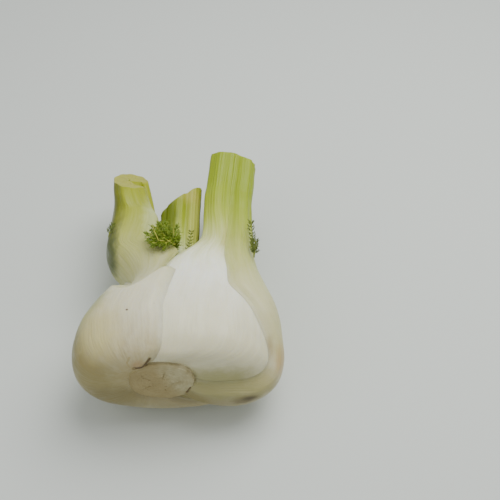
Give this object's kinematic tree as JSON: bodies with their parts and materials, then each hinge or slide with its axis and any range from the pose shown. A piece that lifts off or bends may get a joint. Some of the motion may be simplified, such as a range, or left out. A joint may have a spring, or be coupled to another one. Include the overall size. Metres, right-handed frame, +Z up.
{
  "type": "fennel bulb",
  "caption": "Trimmed bulb of Florence fennel lying on its side: fleshy leaf sheaths wrapped round each other, short cut stalks and tufts of young fronds.",
  "frame": {"origin": "on the floor, on the small flat spot that the bulb lies on, below the middle of its body", "axes": "+Y along the bulb from its root end to its stalks, +Z up, +X to the right across the broad face, seen from the root end"},
  "size_m": [0.091, 0.1372, 0.0578],
  "materials": {
    "root_plate": "dry, rough cut corky tissue, tan to brown",
    "outer_left_sheath": "waxy, satin, creamy white with tan bruises",
    "outer_right_leaf": "waxy, satin, white turning pale green up the stalk",
    "left_leaf": "waxy, satin, white turning yellow green up the ribbed stalk",
    "right_leaf": "waxy, satin, white turning yellow green up the ribbed stalk",
    "heart_leaf": "waxy, satin, bright yellow green",
    "young_frond": "matte, dark green, feathery",
    "heart_sprig": "matte, green, feathery",
    "right_sprig": "matte, dark green, feathery",
    "left_sprig": "matte, green, feathery"
  },
  "bodies": {
    "root": {"root_plate": "root_plate", "outer_left_sheath": "outer_left_sheath", "outer_right_leaf": "outer_right_leaf", "left_leaf": "left_leaf", "right_leaf": "right_leaf", "heart_leaf": "heart_leaf", "young_frond": "young_frond", "heart_sprig": "heart_sprig", "right_sprig": "right_sprig", "left_sprig": "left_sprig"}
  },
  "joints": []
}
